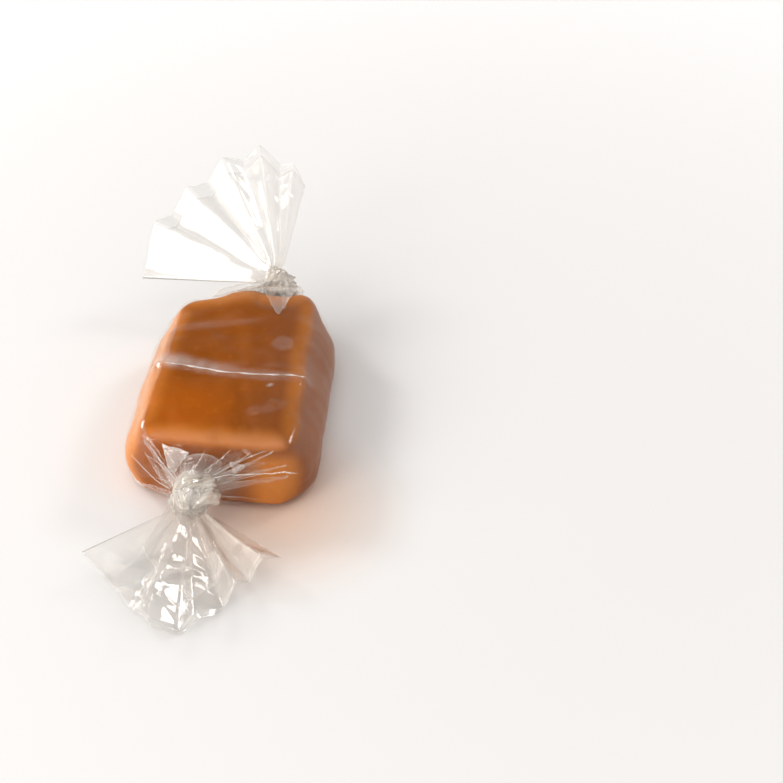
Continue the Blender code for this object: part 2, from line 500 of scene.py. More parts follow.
def mainCrease(y):  # x of the crease at y, in mm
    return np.interp(y, topLines["mainAt"], topLines["main"])


def backLine(y):
    return topLines["back"] + topLines["backSlope"] * y


def topCreases(x, y):  # how far the film stands off the block's top, in millimetres
    lift = 0.42 * ridge(x - mainCrease(y), 3.2, 0.9)
    lift = lift + 0.10 * ridge(x - mainCrease(y) - 1.6, 0.8, 0.7) * bump(y, -2.0, 9.0)
    softLine = backLine(y)
    lift = lift + 0.16 * ridge(x - softLine, 1.6, 1.8) * bump(y, -4.0, 9.0)
    return lift


def sleevePoints(turn):
    reach = film["sleeveEnd"]
    along = reach * np.sin(np.linspace(-0.5, 0.5, film["sleeveRows"]) * math.pi)
    along = along[:, None]
    power = blockForm["power"]
    scale = (1.0 - np.abs(along) ** power) ** (1.0 / power)
    across, height = unitOutline(turn)
    x, y, z = onBlock(along, scale * across, scale * height, film["offset"])
    lift = topCreases(x / mm, y / mm) * np.clip(height, 0.0, 1.0) ** 2
    lift = lift + 0.07 * smoothNoise(x / mm, y / mm + z / mm, 5.0, 41)
    edge = smoothStep((reach - np.abs(along)) / 0.06)
    x, y, z = onBlock(along, scale * across, scale * height, film["offset"] + lift * edge * mm)
    return np.stack([x, y, np.maximum(z, film["floorGap"])], axis=2)


def gatherPoints(shareRound, end, last):
    share = (np.arange(1, film["gatherRows"] + 1) / film["gatherRows"])[:, None]
    angle = 2.0 * math.pi * shareRound[None, :]
    neck = end["neck"]
    radius = film["neckRadius"]
    target = np.stack([np.full_like(angle, neck[0]), neck[1] + radius * np.cos(angle),
                       neck[2] + radius * np.sin(angle)], axis=2)
    inward = share[..., None] ** 0.9
    points = last[None] * (1.0 - inward) + target * inward
    outward = share ** film["gatherRise"]
    points[..., 0] = last[None, :, 0] + (neck[0] - last[None, :, 0]) * outward
    return points, share


cloud = {  # milk of the cloudy places, with their places and reaches in mm
    "clear": 0.001,
    "pocket": (0.05, -5.1, 6.5, 1.8),
    "patch": (0.028, 9.0, 6.2, 2.0),
    "frontEdge": (0.02, 15.4, 1.6),
    # painted glints: milk of the small whitish spots
    "spot": 0.2,
    # painted highlight: milk and reach of the soft light line behind the crease
    "back": (0.035, 1.2),
    "right": 0.006,
    "crestFade": 0.25,
}


def sleeveMilk(place):  # where the film is cloudy: trapped air and haze beside the creases, with a painted soft highlight along the line behind the crease and small painted glint spots
    x, y, z = place[..., 0], place[..., 1], place[..., 2]
    top = smoothStep((z - 8.0) / 1.5)
    milk = cloud["clear"] * np.ones_like(x)
    ragged = 0.35 * smoothNoise(x, y, 2.6, 55)
    amount, placeX, placeY, reach = cloud["pocket"]
    away = np.hypot((x - placeX) / 1.2, y - placeY)
    milk += amount * top * smoothStep((reach - away + 0.4 * ragged) / 0.6)
    amount, placeX, placeY, reach = cloud["patch"]
    away = np.hypot((x - placeX + 0.4 * (y - placeY)) / 0.8, (y - placeY) / 1.5)
    milk += amount * top * smoothStep(reach - away + 2.0 * ragged)
    amount, edgeX, reach = cloud["frontEdge"]
    milk += amount * bump(x, edgeX, reach) * smoothStep((z - 7.5) / 1.0)
    past = x - mainCrease(y)
    wedge = smoothStep(1.0 + past / (2.6 - 0.17 * y))
    haze = np.where(past < 0.0, wedge, np.exp(-np.abs(past) / cloud["crestFade"]))
    strength = np.interp(y, topLines["hazeAt"], topLines["haze"])
    milk += strength * top * haze * (1.0 + 0.3 * smoothNoise(x * 0.4, y, 2.6, 56))
    # painted glints: small whitish spots beside the crease
    for spotX, spotY, reach in topLines["spots"]:
        away = np.hypot((x - spotX - 0.15 * (y - spotY)) / 0.1, (y - spotY) / reach)
        milk += cloud["spot"] * top * smoothStep(1.0 - away)
    # painted highlight along the soft line behind the crease
    amount, reach = cloud["back"]
    milk += amount * top * bump(x - backLine(y), 0.0, reach) * smoothStep((4.0 - y) / 4.0)
    milk += cloud["right"] * top * smoothStep((y - 1.0) / 6.0)
    return milk


def gatherFolds(end, shareRound, share):  # pleats and crumples of a gather, from the block to the neck
    growth = np.sin(math.pi * share ** 0.8) * 0.75 + 0.35 * share
    weight = 0.45 + 0.55 * bump(shareRound, 0.40, 0.22)[None, :]
    folds = crease(shareRound, end["pleats"], end["seed"])[None, :] * growth * weight
    finePleats = crease(shareRound, end["pleats"] * 2 + 5, end["seed"] + 1)[None, :]
    folds = folds + 0.35 * finePleats * growth ** 2
    u = np.cos(2 * math.pi * shareRound)[None, :] * (1.2 - share) * 10
    v = np.sin(2 * math.pi * shareRound)[None, :] * (1.2 - share) * 10
    folds = folds + 0.4 * facets(u, v, 2.4, 0.4, end["seed"]) * np.sin(math.pi * share)
    return end["pleatHeight"] * folds


def makeSleeve(material):
    turn = evenTurns(film["columns"])
    shareRound = np.arange(film["columns"]) / film["columns"]
    sleeve = sleevePoints(turn)
    front, share = gatherPoints(shareRound, frontEnd, sleeve[-1])
    rear, _ = gatherPoints(shareRound, rearEnd, sleeve[0])
    points = np.concatenate([rear[::-1], sleeve, front], axis=0)
    near = film["gatherRows"]
    lift = np.zeros(points.shape[:2])
    lift[-near:] = gatherFolds(frontEnd, shareRound, share)
    lift[:near] = gatherFolds(rearEnd, shareRound, share)[::-1]
    points += surfaceNormals(points) * lift[..., None]
    points[..., 2] = np.maximum(points[..., 2], film["floorGap"])
    milk = sleeveMilk(points / mm)
    milk[-near:] += film["neckMilk"] * share ** 6
    milk[:near] += (film["neckMilk"] * share ** 6)[::-1]
    filmPiece("filmSleeve", [(points, milk, True)], material)
    return points


def onSleeve(grid, rowShare, shareRound, lift):  # points standing off the sleeve, by its two shares
    rows, columns = grid.shape[:2]
    r = np.clip(rowShare * (rows - 1), 0.0, rows - 1.001)
    c = np.mod(shareRound * columns, columns)
    r0, c0 = np.floor(r).astype(int), np.floor(c).astype(int) % columns
    fr, fc = (r - r0)[..., None], (c - np.floor(c))[..., None]
    c1 = (c0 + 1) % columns
    found = []
    for source in (grid, surfaceNormals(grid)):
        near = source[r0, c0] * (1 - fc) + source[r0, c1] * fc
        far = source[r0 + 1, c0] * (1 - fc) + source[r0 + 1, c1] * fc
        found.append(near * (1 - fr) + far * fr)
    return found[0] + found[1] * np.asarray(lift)[..., None]


def endRow(end, share):  # row share of the whole sleeve grid for a share of the gather, from block to neck
    total = film["sleeveRows"] + 2 * film["gatherRows"]
    inset = film["gatherRows"] * (1.0 - share) / (total - 1)
    return 1.0 - inset if end["side"] > 0 else inset


tucks = {
    "front": (  # middle and half width round the gather, start and end along it, height in mm
        (0.157, 0.028, 0.12, 0.95, 0.7),
        (0.072, 0.028, 0.20, 0.95, 0.6),
        (0.455, 0.030, 0.25, 0.97, 0.6),
    ),
    "rear": (
        (0.255, 0.042, 0.15, 0.95, 0.9),
        (0.350, 0.035, 0.10, 0.95, 0.8),
        (0.150, 0.030, -0.35, 0.92, 1.2),
        (0.085, 0.030, 0.20, 0.95, 0.7),
    ),
    "rows": 60,
    "columns": 25,
    "lift": 0.12 * mm,
    "wrinkle": 0.12 * mm,
    "milk": 0.02,
    # painted highlight: whitish milk along the fold edges
    "paintedEdgeShine": 0.12,
    "seed": 60,
}


def foldPatch(grid, rowShares, middle, half, height, seed):  # one loose fold standing off a film surface
    along = np.linspace(0.0, 1.0, tucks["rows"])[:, None]
    sideways = np.linspace(-1.0, 1.0, tucks["columns"])[None, :]
    opening = 0.12 + 0.88 * smoothStep(along / 0.35)
    shareRound = middle + half * sideways * opening
    arch = (1.0 - np.abs(sideways) ** 1.5) * (1.0 + 0.5 * sideways)
    rise = height * mm * arch * np.sin(math.pi * np.clip(along, 0.0, 0.999)) ** 0.6
    wrinkle = tucks["wrinkle"] * facets(along * 7, sideways * 3, 1.1, 0.4, seed)
    first, last = rowShares
    rows = first + (last - first) * along + 0.0 * sideways
    points = onSleeve(grid, rows, shareRound, tucks["lift"] + rise + wrinkle)
    edges = np.abs(sideways) ** 8 + 0.0 * along
    return points, edges


def makeTucks(grid, material):
    for endName, end in (("Front", frontEnd), ("Rear", rearEnd)):
        patches = []
        for number, (middle, half, start, stop, height) in enumerate(tucks[endName.lower()]):
            shares = endRow(end, start), endRow(end, stop)
            points, edges = foldPatch(grid, shares, middle, half, height, tucks["seed"] + number)
            patches.append((points, tucks["milk"] + tucks["paintedEdgeShine"] * edges, False))
        filmPiece(f"film{endName}Tucks", patches, material)


flaps = {
    "rows": 50,
    "columns": 40,
    "crumple": 0.2,
    "paintedEdgeShine": 0.2,
    # painted highlight: whitish milk along the flap edges
    "seed": 90,
    "webs": (  # corners in mm: two on the block's side, two on the neck's, then arch, swell and milk
        ((16.9, -6.8, 9.7), (17.7, -3.1, 9.1), (18.7, -5.1, 6.3), (18.5, -5.8, 6.2), 0.0, 0.25, 0.38),
        ((17.9, -4.4, 7.7), (18.0, 1.3, 7.7), (19.9, 0.2, 6.0), (19.7, -4.1, 5.8), 1.6, 0.5, 0.05),
        ((16.5, -9.3, 9.9), (16.6, -9.1, 9.9), (19.9, -4.3, 5.5), (19.8, -5.2, 5.0), 0.0, 0.1, 0.10),
        ((17.0, -9.2, 8.3), (17.1, -9.0, 8.2), (19.8, -4.9, 4.9), (19.7, -6.2, 4.3), 0.0, 0.2, 0.06),
        ((17.4, -10.8, 3.4), (17.5, -10.6, 3.6), (19.8, -5.1, 4.1), (19.7, -6.1, 3.1), 0.0, 0.2, 0.08),
        ((17.8, 9.9, 5.9), (17.9, 9.8, 5.8), (19.9, 0.1, 4.4), (19.8, 0.3, 5.8), 0.3, 0.3, 0.05),
        ((17.0, 7.9, 9.4), (17.1, 7.7, 9.3), (19.5, 0.6, 5.8), (19.5, 0.4, 6.8), 0.0, 0.3, 0.05),
        ((17.4, 9.7, 7.6), (17.5, 9.5, 7.4), (19.6, 0.3, 5.5), (19.6, 0.3, 6.2), 0.0, 0.2, 0.06),
        ((17.3, 4.9, 9.0), (17.4, 4.5, 8.9), (19.6, -0.1, 6.3), (19.5, -0.5, 7.0), 0.0, 0.2, 0.07),
        ((18.0, 2.3, 8.3), (18.2, 4.3, 7.7), (19.0, 2.9, 6.5), (19.0, 2.8, 6.5), 0.0, 0.4, 0.14),
        ((-18.6, 1.8, 10.7), (-18.5, 6.9, 10.7), (-12.3, 5.1, 10.5), (-12.5, 4.6, 10.5), 0.0, 0.0, 0.10),
    ),
}


def makeFlaps(material):  # separate folds that catch the light beside the necks
    patches = []
    down = np.linspace(0.0, 1.0, flaps["rows"])[:, None, None]
    sideways = np.linspace(0.0, 1.0, flaps["columns"])[None, :, None]
    for number, (first, second, third, fourth, arch, swell, milk) in enumerate(flaps["webs"]):
        first, second, third, fourth = (np.array(corner) * mm for corner in (first, second, third, fourth))
        blockSide = first * (1.0 - sideways) + second * sideways
        neckSide = fourth * (1.0 - sideways) + third * sideways
        points = blockSide * (1.0 - down) + neckSide * down
        fall, turn = down[..., 0], sideways[..., 0]
        bulging = np.sin(math.pi * turn)
        points[..., 2] += arch * mm * (1.0 - fall) * np.clip(bulging, 0.0, 1.0) ** 0.6
        crumple = flaps["crumple"] * facets(fall * 6, turn * 6, 1.6, 0.5, flaps["seed"] + number)
        points[..., 0] += (swell * bulging * np.sin(math.pi * fall) + crumple) * mm
        edges = np.abs(2.0 * turn - 1.0) ** 14 + (1.0 - fall) ** 25
        patches.append((points, milk + flaps["paintedEdgeShine"] * np.clip(edges, 0.0, 1.0), False))
    filmPiece("filmFlaps", patches, material)


lap = {
    "from": 0.376,
    "to": 0.50,
    "rows": 220,
    "columns": 60,
    "lift": 0.14 * mm,
    "leastLift": 0.08 * mm,
    "wave": 0.006,
    "gatherShare": 0.35,
    "milk": 0.004,
    # painted highlight: whitish milk along the lap's free edge
    "paintedEdgeShine": 0.09,
}


def makeLap(grid, material):
    first, last = endRow(rearEnd, lap["gatherShare"]), endRow(frontEnd, lap["gatherShare"])
    along = np.linspace(first, last, lap["rows"])[:, None]
    inward = np.linspace(0.0, 1.0, lap["columns"])[None, :]
    edge = lap["from"] + lap["wave"] * smoothNoise(along * 60, 0.0 * along, 11.0, 77)
    shareRound = edge + (lap["to"] - edge) * inward
    lift = lap["lift"] * (1.0 + 0.6 * smoothNoise(along * 60, inward * 8, 6.0, 70) * (1 - inward))
    points = onSleeve(grid, along + 0.0 * inward, shareRound, np.maximum(lift, lap["leastLift"]))
    milk = lap["milk"] + lap["paintedEdgeShine"] * (1.0 - inward) ** 14 + 0.0 * along
    filmPiece("filmLap", [(points, milk, False)], material)


ribs = {
    "front": (0.03, 0.115, 0.19, 0.25, 0.31, 0.372, 0.392, 0.408, 0.43, 0.455, 0.50, 0.60, 0.71, 0.83, 0.93),
    "rear": (0.03, 0.09, 0.17, 0.23, 0.29, 0.33, 0.37, 0.41, 0.47, 0.56, 0.66, 0.78, 0.90),
    "lines": (  # in mm, with the thickness at each point: sharp folds that catch the light
        ((20.0, -0.4, 6.6, 1.2), (19.3, 1.8, 6.9, 0.7), (18.7, 4.6, 6.7, 1.0), (18.3, 7.6, 6.7, 0.6),
         (18.0, 9.6, 6.8, 1.1), (17.8, 11.2, 6.5, 0.3)),
        ((20.0, -4.7, 6.2, 0.9), (19.0, -6.0, 7.3, 0.6), (17.8, -7.6, 8.9, 0.8), (17.0, -8.7, 9.9, 0.2)),
        ((20.0, -5.6, 4.6, 0.8), (19.2, -7.6, 5.4, 0.5), (18.2, -9.6, 7.0, 0.6), (17.4, -10.9, 8.0, 0.1)),
    ),
    "linePoints": 70,
    "points": 26,
    "width": 0.13 * mm,
    "height": 0.09 * mm,
    "lift": 0.06 * mm,
    "sides": 8,
    "seed": 21,
}


def newTree(name, sockets):  # a geometry tree with its named inputs
    tree = bpy.data.node_groups.new(name, "GeometryNodeTree")
    tree.interface.new_socket("Geometry", in_out="INPUT", socket_type="NodeSocketGeometry")
    for label, kind in sockets:
        tree.interface.new_socket(label, in_out="INPUT", socket_type=kind)
    tree.interface.new_socket("Geometry", in_out="OUTPUT", socket_type="NodeSocketGeometry")
    make = NodeMaker(tree)
    start = tree.nodes.new("NodeGroupInput")
    given = {socket.name: Field(make, socket) for socket in start.outputs if socket.name}
    return tree, make, given


def growFrom(piece, tree, values):  # runs the tree on the piece and keeps the plain mesh
    growth = piece.modifiers.new("growth", "NODES")
    growth.node_group = tree
    for item in tree.interface.items_tree:
        if item.in_out == "INPUT" and item.name in values:
            growth[item.identifier] = values[item.name]
    graph = bpy.context.evaluated_depsgraph_get()
    mesh = bpy.data.meshes.new_from_object(piece.evaluated_get(graph))
    mesh.name = piece.name
    grown = addObject(piece.name, mesh)
    bpy.data.objects.remove(piece, do_unlink=True)
    grown.name = mesh.name
    return grown


def ribTree():  # narrow folded ribs that follow the curves they are given
    tree, make, given = newTree("gatherRibs", [
        ("Width", "NodeSocketFloat"), ("Height", "NodeSocketFloat"), ("Material", "NodeSocketMaterial")])
    section = make.node("GeometryNodeCurvePrimitiveCircle", {"mode": "RADIUS"},
                        {"Resolution": ribs["sides"], "Radius": 1.0})
    scale = make.node("ShaderNodeCombineXYZ", None, {"X": given["Width"], "Y": given["Height"], "Z": 1.0})
    section = make.node("GeometryNodeTransform", None, {"Geometry": section, "Scale": scale})
    radius = make.node("GeometryNodeInputRadius")
    tubes = make.node("GeometryNodeCurveToMesh", None, {
        "Curve": given["Geometry"], "Profile Curve": section, "Scale": radius, "Fill Caps": True})
    tubes = make.node("GeometryNodeSetShadeSmooth", None, {"Geometry": tubes})
    tubes = make.node("GeometryNodeRealizeInstances", None, {"Geometry": tubes})
    tubes = make.node("GeometryNodeSetMaterial", None, {"Geometry": tubes, "Material": given["Material"]})
    make.node("NodeGroupOutput", None, {"Geometry": tubes})
    return tree


def growRibs(name, paths, material):  # paths: lines of points, each with its thickness along it
    curve = bpy.data.curves.new(name, "CURVE")
    curve.dimensions = "3D"
    for path, thick in paths:
        spline = curve.splines.new("POLY")
        spline.points.add(len(path) - 1)
        for point, spot, size in zip(spline.points, path, thick):
            point.co = (*spot, 1.0)
            point.radius = size
    sizes = {"Width": ribs["width"], "Height": ribs["height"], "Material": material}
    piece = growFrom(addObject(name, curve), ribTree(), sizes)
    declare(piece, "wrapper")


def makeRibs(grid, material):
    for endName, end in (("Front", frontEnd), ("Rear", rearEnd)):
        rng = np.random.default_rng(ribs["seed"] + (end is rearEnd))
        paths = []
        for place in ribs[endName.lower()]:
            along = np.linspace(rng.uniform(0.0, 0.35), 0.985, ribs["points"])
            shareRound = place + rng.uniform(-0.012, 0.012) * np.sin(math.pi * along)
            path = onSleeve(grid, endRow(end, along), shareRound, ribs["lift"] * np.ones_like(along))
            thick = rng.uniform(0.5, 1.2) * np.sin(math.pi * (0.06 + 0.9 * (along - along[0]))) ** 0.7
            paths.append((path, thick))
        growRibs(f"film{endName}Ribs", paths, material)


def foldLines():  # sharp folds from the front neck, roughened a little
    rng = np.random.default_rng(ribs["seed"] + 5)
    count = ribs["linePoints"]
    paths = []
    for line in ribs["lines"]:
        line = np.array(line)
        spots = np.linspace(0.0, len(line) - 1.0, count)
        path = np.stack([np.interp(spots, np.arange(len(line)), line[:, axis]) for axis in range(4)], axis=1)
        path[1:-1, :3] += rng.uniform(-0.07, 0.07, (count - 2, 3))
        paths.append((path[:, :3] * mm, path[:, 3] * rng.uniform(0.5, 1.3, count)))
    return paths


def creaseLine(grid):  # the crest of the main crease, laid on the sleeve
    y = np.linspace(*topLines["crest"], topLines["crestPoints"])
    flatGrid = grid.reshape(-1, 3) / mm
    flatGrid = flatGrid[flatGrid[:, 2] > 7.5]
    x = mainCrease(y)
    away = np.hypot(flatGrid[None, :, 0] - x[:, None], flatGrid[None, :, 1] - y[:, None])
    near = np.argsort(away, axis=1)[:, :4]
    z = np.take(flatGrid[:, 2], near).mean(axis=1)
    z = np.convolve(np.pad(z, 3, mode="edge"), np.ones(7) / 7.0, mode="valid") + 0.03
    path = np.stack([x + 0.1 * smoothNoise(y, y * 0.0, 4.0, 63), y, z], axis=1) * mm
    thick = np.clip(0.9 + 0.5 * smoothNoise(y, y * 0.0, 2.4, 64), 0.25, 1.6)
    return path, thick * np.clip((y + 9.4) / 2.0, 0.1, 1.0)


def makeCreases(grid, material):
    growRibs("filmCreases", foldLines() + [creaseLine(grid)], material)


knot = {
    "shells": ((1.0, 0.5, 0.72), (0.8, 0.45, 1.0)),  # size, depth of the crumpling in mm, milk
    "rows": 76,
    "columns": 170,
    "before": 1.0 * mm,
    "after": 4.0 * mm,
    "radiusAt": (0.0, 0.2, 0.5, 0.8, 0.94, 1.0),
    "radius": (2.4, 2.9, 2.8, 2.1, 1.5, 0.1),
    "flatness": 0.86,
    "aside": 0.5 * mm,
    "twist": 1.9,
    "skinRadius": 2.9,
    "coarse": (2.1, 0.4),  # facets: size in mm and turn
    "fine": (1.0, 1.0),
    "pleats": 13,
    "pleatDepth": 0.14,
    "seeds": (140, 150, 160),
    "floorGap": 0.2 * mm,
    "strands": 12,
    "strandPoints": 40,
    "strandLift": 0.05 * mm,
    "strandSeed": 33,
}


def knotShell(tail, number, size, depth, cloud):  # one crumpled shell of film round a neck
    end = tail["end"]
    share = np.linspace(0.0, 1.0, knot["rows"])[:, None]
    around = np.linspace(0.0, 2.0 * math.pi, knot["columns"], endpoint=False)[None, :]
    length = (knot["before"] + knot["after"]) / mm
    skin = around * knot["skinRadius"]
    coarseSeed, fineSeed, pleatSeed = (seed + number for seed in knot["seeds"])
    coarse = facets(skin, share * length + around, *knot["coarse"], coarseSeed)
    fine = facets(skin, share * length - around, *knot["fine"], fineSeed)
    shareRound = np.mod(around / (2.0 * math.pi) + 0.25 + share * 0.3, 1.0)
    pleats = crease(shareRound, knot["pleats"], pleatSeed)
    radius = size * np.interp(share, knot["radiusAt"], knot["radius"]) * (1.0 + knot["pleatDepth"] * pleats)
    radius = radius + depth * (0.85 * coarse + 0.42 * fine) * np.clip(radius, 0.0, 1.0)
    radius = tail["knotSize"] * np.maximum(radius, 0.05) * mm
    angle = around - 0.5 * math.pi + knot["twist"] * (share - 0.5) * end["side"]
    run = share * (knot["before"] + knot["after"]) - knot["before"]
    x = end["neck"][0] + end["side"] * (run + 0.35 * mm * coarse)
    y = end["neck"][1] + knot["aside"] + radius * np.cos(angle) + end["side"] * tail["knotLean"] * run
    z = end["neck"][2] + knot["flatness"] * radius * np.sin(angle) + tail["knotClimb"] * run
    points = np.stack([x, y, np.maximum(z, knot["floorGap"])], axis=2)
    milk = np.clip(cloud + 0.35 * fine + 0.3 * coarse, 0.15, 1.0)
    if end["side"] < 0:
        points, milk = points[::-1], milk[::-1]
    return points, milk, True


def knotStrands(tail, grid):  # twisted ribs that run from a neck into its tail
    rng = np.random.default_rng(knot["strandSeed"] + tail["seed"])
    paths = []
    for number in range(knot["strands"]):
        along = np.linspace(rng.uniform(0.0, 0.05), rng.uniform(0.24, 0.5), knot["strandPoints"])
        shareRound = (number + rng.uniform(-0.4, 0.4)) / knot["strands"] + 0.0 * along
        rows = along if tail["end"]["side"] > 0 else 1.0 - along
        path = onSleeve(grid, rows, shareRound, knot["strandLift"] * np.ones_like(along))
        path[:, 2] = np.maximum(path[:, 2], knot["floorGap"])
        left = 1.0 - (along - along[0]) / (along[-1] - along[0])
        paths.append((path, rng.uniform(0.4, 1.1) * np.clip(left, 0.08, 1.0) ** 0.6))
    return paths


def makeKnot(tail, grid, foldMaterial, strandMaterial):
    shells = [knotShell(tail, number, *shell) for number, shell in enumerate(knot["shells"])]
    filmPiece(tail["name"] + "Knot", shells, foldMaterial)
    growRibs(tail["name"] + "Strands", knotStrands(tail, grid), strandMaterial)


tailForm = {  # what both tails share
    "neckLength": 2.6 * mm,
    "neckRows": 40,
    "tailRows": 150,
    "columns": 260,
    "twist": math.radians(230),
    "waist": 0.38,
    "neckPleats": (19, 0.45),  # count, height in mm
    "rootPleats": (17, 0.34),
    "neckFacets": 0.34,
    "opening": 1.0 * mm,
    "facets": (((7.6, 0.3), (3.4, 1.1)), ((6.2, 0.8), (3.7, 0.1))),  # upper layer, then lower: size, turn
    "smallFacets": 0.22,
    "floorGap": 0.15 * mm,
    "floorSoft": 0.25 * mm,
    "neckMilk": 0.45,
}
frontTail = {
    "name": "filmFront",
    "end": frontEnd,
    "knotSize": 1.0,
    "knotLean": 0.0,
    "knotClimb": 0.0,
    "spread": (math.radians(-52), math.radians(58.5)),
    "reachAt": (-1.0, -0.75, -0.51, -0.31, -0.144, 0.035, 0.289, 0.56, 0.78, 1.0),
    "reach": (15.6, 15.2, 16.2, 18.0, 20.6, 20.6, 17.8, 14.9, 14.1, 15.3),
    "foldAt": (-1.0, -0.62, -0.36, -0.2, 0.02, 0.14, 0.34, 0.5, 0.66, 0.84, 1.0),
    "fold": (-0.8, -3.0, -3.9, -1.8, -4.2, -2.6, -4.0, -1.4, -3.4, -0.4, -1.6),
    "underReach": 0.95,
    "crumple": 0.75,
    "fineFolds": 0.06,
    "seed": 5,
}
rearTail = {
    "name": "filmRear",
    "end": rearEnd,
    "knotSize": 0.8,
    "knotLean": 0.35,
    "knotClimb": 0.3,
    "spread": (math.radians(-8), math.radians(85)),
    "reachAt": (-1.0, -0.62, -0.21, 0.26, 0.75, 1.0),
    "reach": (16.0, 18.8, 18.2, 18.2, 20.5, 21.5),
    "foldAt": (-1.0, -0.85, -0.7, -0.5, -0.3, -0.1, 0.1, 0.35, 0.55, 0.75, 0.9, 1.0),
    "fold": (7.5, 10.5, 9.0, 12.6, 10.4, 11.6, 8.0, 9.0, 5.0, 5.6, 0.6, -1.6),
    "underReach": 0.94,
    "crumple": 0.6,
    "fineFolds": 0.2,
    "seed": 8,
}


def neckPoints(tail, shareRound):
    end = tail["end"]
    share = (np.arange(tailForm["neckRows"]) / (tailForm["neckRows"] - 1))[:, None]
    angle = 2.0 * math.pi * shareRound[None, :] + tailForm["twist"] * share * end["side"]
    waist = 1.0 - tailForm["waist"] * np.sin(math.pi * share)
    pleats, pleatHeight = tailForm["neckPleats"]
    pleat = crease(shareRound, pleats, tail["seed"] + 3)[None, :] * pleatHeight * mm
    rough = facets(angle * 2.2, share * 3.0, 0.62, 0.5, tail["seed"]) * tailForm["neckFacets"] * mm
    radius = film["neckRadius"] * waist + pleat + rough
    x = end["neck"][0] + end["side"] * tailForm["neckLength"] * (share * 1.15 - 0.15)
    y = end["neck"][1] + radius * np.cos(angle)
    z = end["neck"][2] + radius * np.sin(angle)
    return np.stack([x + 0.0 * y, y, z], axis=2)


def tailPoints(tail, shareRound):
    end = tail["end"]
    side = end["side"]
    share = (np.arange(1, tailForm["tailRows"] + 1) / tailForm["tailRows"])[:, None]
    angle = np.mod(2.0 * math.pi * shareRound + tailForm["twist"] * side, 2.0 * math.pi)[None, :]
    across = 2.0 * np.abs(angle / math.pi - 1.0) - 1.0
    layer = np.where(angle < math.pi, 1.0, -1.0)
    low, high = tail["spread"]
    heading = low + (high - low) * 0.5 * (across + 1.0)
    reach = np.interp(across, tail["reachAt"], tail["reach"]) * mm
    reach = reach * np.where(layer > 0, 1.0, 1.0 - (1.0 - tail["underReach"]) * (1.0 - across ** 2))
    fold = np.interp(across, tail["foldAt"], tail["fold"]) * mm
    fold = fold + tail["fineFolds"] * crease(0.5 + 0.45 * across, 21, tail["seed"] + 7) * mm
    start = end["neck"] + np.array([side * tailForm["neckLength"], 0.0, 0.0])
    flare = smoothStep(share / 0.22)
    x = start[0] + side * share * reach * np.cos(heading)
    flatY = side * share * reach * np.sin(heading)
    u, v = share * reach * np.cos(heading) / mm, flatY / mm
    crumples = []
    for number, (broad, small) in enumerate(tailForm["facets"]):
        seed = tail["seed"] + 2 * number
        crumples.append(facets(u, v, *broad, seed) + tailForm["smallFacets"] * facets(u, v, *small, seed + 1))
    crumple = np.where(layer > 0, *crumples) * tail["crumple"] * mm
    edge = smoothStep((1.0 - np.abs(across)) / 0.15)
    gap = layer * tailForm["opening"] * (1.0 - across ** 2) * np.ones_like(share)
    flatZ = fold * share ** 0.9 + gap * smoothStep(share * 2) + crumple * share * edge
    pleats, pleatHeight = tailForm["rootPleats"]
    radius = film["neckRadius"] + crease(shareRound, pleats, tail["seed"] + 3)[None, :] * pleatHeight * mm
    roundY = radius * np.cos(angle)
    roundZ = radius * np.sin(angle)
    y = start[1] + roundY * (1.0 - flare) + flatY
    z = start[2] + roundZ * (1.0 - flare) + flatZ * flare
    return np.stack([x + 0.0 * y, y, z], axis=2)


def makeTail(tail, material):
    form = tailForm
    shareRound = np.arange(form["columns"]) / form["columns"]
    points = np.concatenate([neckPoints(tail, shareRound), tailPoints(tail, shareRound)], axis=0)
    floorGap, soft = form["floorGap"], form["floorSoft"]
    points[..., 2] = floorGap + np.logaddexp(0.0, (points[..., 2] - floorGap) / soft) * soft
    share = np.linspace(0.0, 1.0, form["tailRows"])
    # the last term is a painted highlight: whitish milk along the tail's rim
    inTail = form["neckMilk"] * (1.0 - share) ** 9 + 0.008 + 0.22 * share ** 60
    inNeck = np.full(form["neckRows"], form["neckMilk"])
    milk = np.concatenate([inNeck, inTail])[:, None] * np.ones(form["columns"])
    if tail["end"]["side"] < 0:
        points, milk = points[::-1], milk[::-1]
    filmPiece(tail["name"] + "Tail", [(points, milk, True)], material)
    return points


tongue = {  # the inner flap of the front tail, in mm: its root across the neck and its rim
    "root": ((23.0, -4.6, 5.6), (23.0, -0.6, 5.8)),
    "rimAt": (0.0, 0.22, 0.45, 0.68, 0.86, 1.0),
    "rim": ((30.5, -7.4, 4.4), (33.8, -6.0, 4.0), (37.0, -3.0, 3.4), (39.2, 0.6, 3.2), (37.2, 3.2, 3.6),
            (31.2, 2.6, 4.6)),
    "arch": 1.0,
    "folds": (7, 0.3, 51),  # count, height and seed
    "crumple": 0.7,
    "facets": (5.6, 0.9, 15),  # size, turn and seed
    "rows": 110,
    "columns": 120,
}


